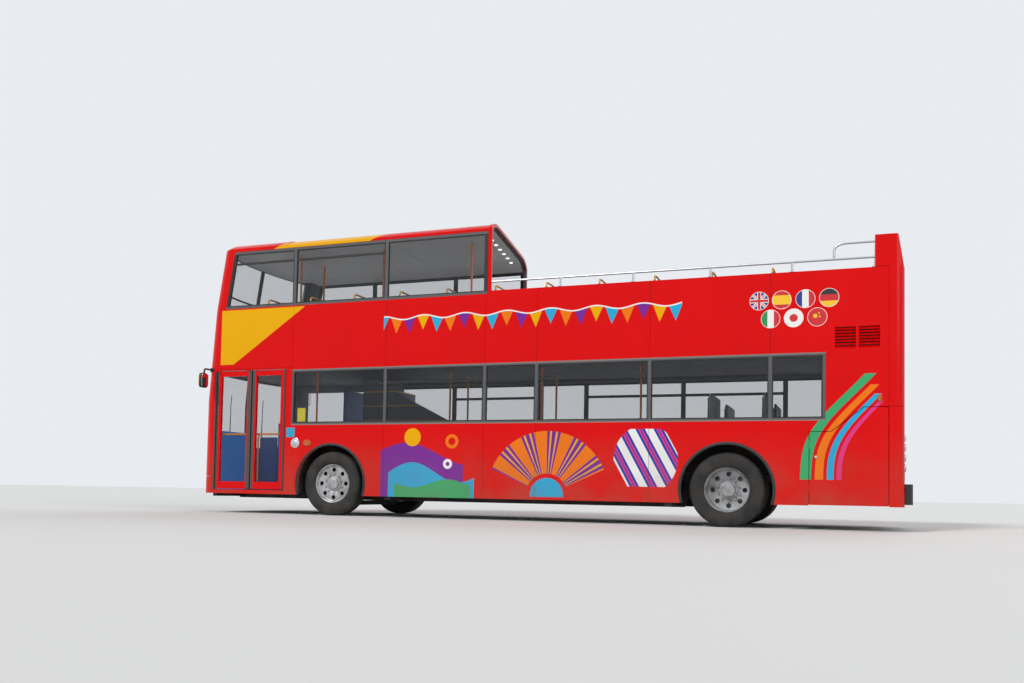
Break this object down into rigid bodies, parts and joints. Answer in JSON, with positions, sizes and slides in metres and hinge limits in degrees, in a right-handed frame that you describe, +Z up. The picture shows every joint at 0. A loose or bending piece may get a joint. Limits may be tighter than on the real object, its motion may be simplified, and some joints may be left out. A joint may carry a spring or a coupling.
{
  "type": "open top double decker bus",
  "caption": "Full-size double-decker bus, front half of the upper deck roofed and the rear half open, with steered front wheels, twin rear wheels, a two-leaf entrance and engine covers.",
  "frame": {"origin": "on the ground below the middle of the vehicle's overall box", "axes": "+X toward the rear along the length, +Y toward the offside (driver's side), +Z up"},
  "size_m": [10.45, 3.11, 4.2523],
  "materials": {
    "red": "gloss red paint",
    "trim": "grey-brown window trim",
    "black_trim": "black rubber and plastic",
    "dark_plastic": "dark moulded plastic",
    "glass": "grey tinted glass",
    "lamp_clear": "clear lamp lens",
    "lamp_red": "red lamp lens",
    "floor": "dark floor covering",
    "seat": "dark blue seat cloth",
    "blue_panel": "blue panel",
    "steel": "bright steel tube",
    "orange_rail": "orange coated tube",
    "frame_paint": "black frame paint",
    "engine": "cast engine block",
    "rim": "silver-grey wheel paint",
    "tyre": "black tyre rubber"
  },
  "bodies": {
    "bus": {"cab_partition": "blue_panel", "chassis_frame": "frame_paint", "dashboard": "dark_plastic", "destination_blind": "black_trim", "driver_seat": "seat", "engine_block": "engine", "frame_members": "frame_paint", "front_axle": "frame_paint", "front_band": "red", "front_bumper": "red", "front_glass": "glass", "front_lamps": "lamp_clear", "front_panel": "red", "grab_poles": "orange_rail", "guard_rails": "steel", "lower_floor": "floor", "lower_seats": "seat", "mirrors": "black_trim", "nearside_mid_panel": "red", "nearside_skirt": "red", "offside_mid_panel": "red", "offside_skirt": "red", "rear_axle": "frame_paint", "rear_bumper": "black_trim", "rear_lamps": "lamp_red", "rear_lower_panel": "red", "rear_tower": "red", "rear_upper_panel": "red", "roof": "red", "roof_end_hoop": "red", "roof_front": "red", "screen_bars": "black_trim", "side_glass": "glass", "side_louvres": "red", "staircase": "floor", "steering_wheel": "dark_plastic", "towing_bracket": "frame_paint", "upper_floor": "floor", "upper_front_posts": "red", "upper_seats": "seat", "wheel_boxes": "floor", "window_trim": "trim"},
    "knuckle_left": {"knuckle_left": "frame_paint"},
    "knuckle_right": {"knuckle_right": "frame_paint"},
    "wheel_front_left": {"front_rim_left": "rim", "front_tyre_left": "tyre"},
    "wheel_front_right": {"front_rim_right": "rim", "front_tyre_right": "tyre"},
    "wheels_rear_left": {"rear_rims_left": "rim", "rear_tyres_left": "tyre"},
    "wheels_rear_right": {"rear_rims_right": "rim", "rear_tyres_right": "tyre"},
    "door_front": {"door_leaf_front": "red", "door_glass_front": "glass"},
    "door_rear": {"door_leaf_rear": "red", "door_glass_rear": "glass"},
    "engine_cover": {"engine_cover": "red"},
    "engine_flap": {"engine_flap": "red"}
  },
  "joints": [
    {"name": "steer_left", "type": "hinge", "parent": "bus", "child": "knuckle_left", "pos_m": [-2.775, -0.94, 0.4785], "axis": [0, 0, 1], "range_deg": [-40, 40]},
    {"name": "front_wheel_left_spin", "type": "hinge", "parent": "knuckle_left", "child": "wheel_front_left", "pos_m": [-2.775, -1.07, 0.4785], "axis": [0, 1, 0], "continuous": true},
    {"name": "rear_wheels_left_spin", "type": "hinge", "parent": "bus", "child": "wheels_rear_left", "pos_m": [3.025, -0.932, 0.4785], "axis": [0, 1, 0], "continuous": true},
    {"name": "steer_right", "type": "hinge", "parent": "bus", "child": "knuckle_right", "pos_m": [-2.775, 0.94, 0.4785], "axis": [0, 0, 1], "range_deg": [-40, 40]},
    {"name": "front_wheel_right_spin", "type": "hinge", "parent": "knuckle_right", "child": "wheel_front_right", "pos_m": [-2.775, 1.07, 0.4785], "axis": [0, 1, 0], "continuous": true},
    {"name": "rear_wheels_right_spin", "type": "hinge", "parent": "bus", "child": "wheels_rear_right", "pos_m": [3.025, 0.932, 0.4785], "axis": [0, 1, 0], "continuous": true},
    {"name": "door_front_swing", "type": "hinge", "parent": "bus", "child": "door_front", "pos_m": [-4.821, -1.232, 1.28], "axis": [0, 0, 1], "range_deg": [0, 88]},
    {"name": "door_rear_swing", "type": "hinge", "parent": "bus", "child": "door_rear", "pos_m": [-3.622, -1.232, 1.28], "axis": [0, 0, 1], "range_deg": [-88, 0]},
    {"name": "engine_cover_lift", "type": "hinge", "parent": "bus", "child": "engine_cover", "pos_m": [5.13, 0, 1.411], "axis": [0, -1, 0], "range_deg": [0, 70]},
    {"name": "engine_flap_swing", "type": "hinge", "parent": "bus", "child": "engine_flap", "pos_m": [4.035, -1.26, 0.75], "axis": [0, 0, -1], "range_deg": [0, 100]}
  ],
  "couplings": [
    {"joint": "steer_right", "follows": "steer_left", "ratio": 1},
    {"joint": "door_rear_swing", "follows": "door_front_swing", "ratio": -1}
  ]
}
